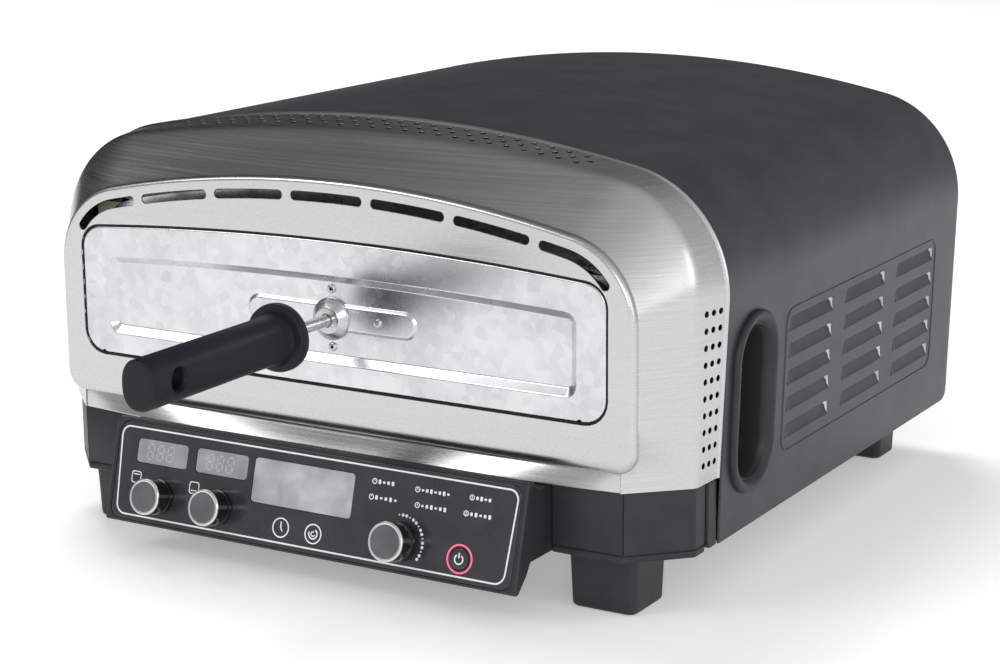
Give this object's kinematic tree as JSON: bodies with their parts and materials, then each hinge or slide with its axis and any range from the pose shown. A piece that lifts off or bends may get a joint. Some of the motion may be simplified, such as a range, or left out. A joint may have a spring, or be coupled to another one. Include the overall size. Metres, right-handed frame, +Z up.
{
  "type": "countertop pizza oven",
  "caption": "Low arched electric pizza oven with a lift-off front door on a straight handle, and a leaning control panel below it with turning knobs, displays and a sprung power button.",
  "frame": {"origin": "on the counter under the middle of the oven's bounding box, handle included", "axes": "+Z up, +Y from the door towards the back of the oven, +X to the right of a user who faces the door"},
  "size_m": [0.4654, 0.608, 0.2664],
  "materials": {
    "brushed_steel": "brushed stainless, long soft reflections",
    "coated_steel": "dark grey satin powder coat",
    "aluminised_steel": "aluminised sheet with a faint spangle",
    "dark_steel": "dull dark steel",
    "black_plastic": "fine textured charcoal plastic",
    "grip_plastic": "matte blue-black heat-resistant plastic",
    "gloss_black": "glossy dark panel film",
    "screen": "unlit pale grey display glass",
    "circuit_board": "green solder resist",
    "brass": "turned",
    "baking_stone": "porous fired cordierite",
    "mineral_wool": "compressed mineral wool",
    "heater_sheath": "heat-tinted tube sheath"
  },
  "bodies": {
    "oven": {"front_bezel": "brushed_steel", "probe_cavity": "brushed_steel", "probe_stone": "brushed_steel", "outer_casing": "coated_steel", "rear_panel": "coated_steel", "cavity_front_frame": "aluminised_steel", "cavity_roof": "aluminised_steel", "cavity_floor": "aluminised_steel", "cavity_side_right": "aluminised_steel", "cavity_side_left": "aluminised_steel", "cavity_back": "aluminised_steel", "bottom_plate": "dark_steel", "stone_rail_right": "dark_steel", "stone_rail_left": "dark_steel", "thermal_cutout": "dark_steel", "encoder_upper_heat": "dark_steel", "encoder_lower_heat": "dark_steel", "encoder_program": "dark_steel", "power_switch": "dark_steel", "corner_base_right": "black_plastic", "corner_base_left": "black_plastic", "trim_strip_right": "black_plastic", "trim_strip_left": "black_plastic", "foot_front_right": "black_plastic", "foot_front_left": "black_plastic", "foot_rear_right": "black_plastic", "foot_rear_left": "black_plastic", "side_grip_right": "black_plastic", "side_grip_left": "black_plastic", "control_housing": "black_plastic", "fan_frame": "black_plastic", "power_inlet": "black_plastic", "control_fascia": "gloss_black", "display_upper_heat": "screen", "display_lower_heat": "screen", "display_program": "screen", "control_board": "circuit_board", "power_board": "circuit_board", "pizza_stone": "baking_stone", "insulation_top": "mineral_wool", "insulation_side_right": "mineral_wool", "insulation_side_left": "mineral_wool", "element_upper": "heater_sheath", "element_lower": "heater_sheath"},
    "door": {"door_skin": "aluminised_steel", "door_insulation": "mineral_wool", "door_liner": "aluminised_steel", "handle_collar": "brushed_steel", "handle_rod": "brushed_steel", "handle_nut": "brushed_steel", "handle_grip": "grip_plastic"},
    "upper_heat_knob": {"knob_upper_heat": "black_plastic", "shaft_upper_heat": "brass"},
    "lower_heat_knob": {"knob_lower_heat": "black_plastic", "shaft_lower_heat": "brass"},
    "program_plunger": {"shaft_program": "brass"},
    "program_knob": {"knob_program": "black_plastic"},
    "power_button": {"power_button": "gloss_black"},
    "fan_rotor": {"fan_impeller": "black_plastic"}
  },
  "joints": [
    {"name": "door_lift_off", "type": "slide", "parent": "oven", "child": "door", "axis": [0, -1, 0], "range_m": [0, 0.12]},
    {"name": "upper_heat_turn", "type": "hinge", "parent": "oven", "child": "upper_heat_knob", "pos_m": [-0.1073, -0.15868, 0.03775], "axis": [0, 0.9637, -0.267], "range_deg": [0, 300]},
    {"name": "lower_heat_turn", "type": "hinge", "parent": "oven", "child": "lower_heat_knob", "pos_m": [-0.0629, -0.15868, 0.03775], "axis": [0, 0.9637, -0.267], "range_deg": [0, 300]},
    {"name": "program_push", "type": "slide", "parent": "oven", "child": "program_plunger", "axis": [0, 0.9637, -0.267], "range_m": [0, 0.001], "stiffness_N_per_m": 1500, "springref_m": -0.0005},
    {"name": "program_turn", "type": "hinge", "parent": "program_plunger", "child": "program_knob", "pos_m": [0.0675, -0.15868, 0.03775], "axis": [0, 0.9637, -0.267], "continuous": true},
    {"name": "power_push", "type": "slide", "parent": "oven", "child": "power_button", "axis": [0, 0.9637, -0.267], "range_m": [0, 0.001], "stiffness_N_per_m": 800, "springref_m": -0.0006},
    {"name": "fan_spin", "type": "hinge", "parent": "oven", "child": "fan_rotor", "pos_m": [-0.1, 0.28675, 0.11], "axis": [0, 1, 0], "continuous": true}
  ]
}
